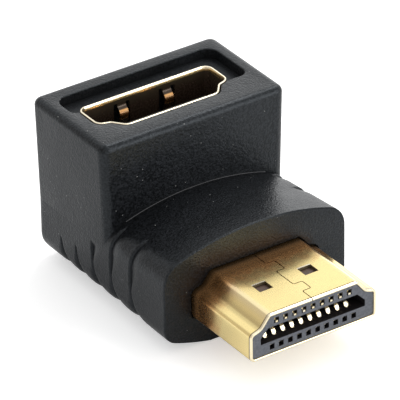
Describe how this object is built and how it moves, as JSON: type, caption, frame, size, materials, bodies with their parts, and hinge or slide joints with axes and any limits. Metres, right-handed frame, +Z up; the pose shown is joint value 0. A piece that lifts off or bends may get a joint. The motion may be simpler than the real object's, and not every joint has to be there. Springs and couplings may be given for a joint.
{
  "type": "right angle video adapter",
  "caption": "Right angle adapter with a flat multi-contact plug on one leg, a matching socket in the other and a moulded elbow with finger scallops.",
  "frame": {"origin": "centre of the bounding box on the surface that the adapter rests on", "axes": "+Z up, the way the socket opens; -Y the way the plug points; +X across the contact rows, to the right of someone who looks at the plug's tip from the front"},
  "size_m": [0.0204, 0.0308, 0.0173],
  "materials": {
    "black_moulding": "fine spark-eroded texture",
    "inner_filler": "plain",
    "gold_plate": "thin gold plating, bright, a little tarnished by the root",
    "grey_insert": "plain",
    "dark_insert": "plain",
    "board_green": "satin"
  },
  "bodies": {
    "root": {"overmould_body": "black_moulding", "inner_mould": "inner_filler", "circuit_board": "board_green", "plug_shell": "gold_plate", "plug_insulator": "grey_insert", "socket_shell": "gold_plate", "socket_insulator": "dark_insert", "plug_contact_wide_01": "gold_plate", "plug_contact_wide_02": "gold_plate", "plug_contact_wide_03": "gold_plate", "plug_contact_wide_04": "gold_plate", "plug_contact_wide_05": "gold_plate", "plug_contact_wide_06": "gold_plate", "plug_contact_wide_07": "gold_plate", "plug_contact_wide_08": "gold_plate", "plug_contact_wide_09": "gold_plate", "plug_contact_wide_10": "gold_plate", "plug_contact_narrow_01": "gold_plate", "plug_contact_narrow_02": "gold_plate", "plug_contact_narrow_03": "gold_plate", "plug_contact_narrow_04": "gold_plate", "plug_contact_narrow_05": "gold_plate", "plug_contact_narrow_06": "gold_plate", "plug_contact_narrow_07": "gold_plate", "plug_contact_narrow_08": "gold_plate", "plug_contact_narrow_09": "gold_plate", "socket_contact_wide_01": "gold_plate", "socket_contact_wide_02": "gold_plate", "socket_contact_wide_03": "gold_plate", "socket_contact_wide_04": "gold_plate", "socket_contact_wide_05": "gold_plate", "socket_contact_wide_06": "gold_plate", "socket_contact_wide_07": "gold_plate", "socket_contact_wide_08": "gold_plate", "socket_contact_wide_09": "gold_plate", "socket_contact_wide_10": "gold_plate", "socket_contact_narrow_01": "gold_plate", "socket_contact_narrow_02": "gold_plate", "socket_contact_narrow_03": "gold_plate", "socket_contact_narrow_04": "gold_plate", "socket_contact_narrow_05": "gold_plate", "socket_contact_narrow_06": "gold_plate", "socket_contact_narrow_07": "gold_plate", "socket_contact_narrow_08": "gold_plate", "socket_contact_narrow_09": "gold_plate"}
  },
  "joints": []
}
